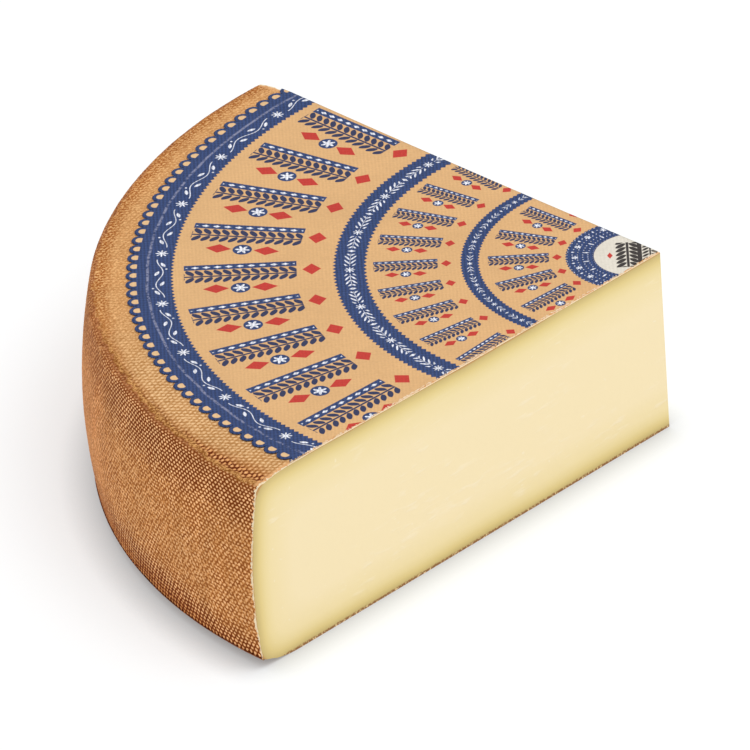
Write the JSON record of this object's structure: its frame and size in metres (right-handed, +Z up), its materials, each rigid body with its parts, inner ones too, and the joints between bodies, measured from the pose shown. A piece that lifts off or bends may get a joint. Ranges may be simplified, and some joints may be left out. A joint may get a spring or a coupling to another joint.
{
  "type": "cheese wedge",
  "caption": "Quarter wheel of hard pressed cheese with a cloth-marked brown rind, smooth pale cut faces and a round lace-edged ornamental label on its top",
  "frame": {"origin": "middle of the bounding box in plan, on the flat underside that the wedge rests on", "axes": "+Z up; +Y along the longest side, from the front cut's rim corner to the back cut's rim corner; +X from the rim towards the point where the two cuts meet"},
  "size_m": [0.312, 0.4376, 0.1115],
  "materials": {
    "cheese": "smooth waxy pale yellow paste on the cuts, dry copper-brown rind with a cloth imprint outside",
    "label": "thin printed sheet, tan ground with dark blue ornamental rings, matt"
  },
  "bodies": {
    "root": {"cheese": "cheese", "label": "label"}
  },
  "joints": []
}
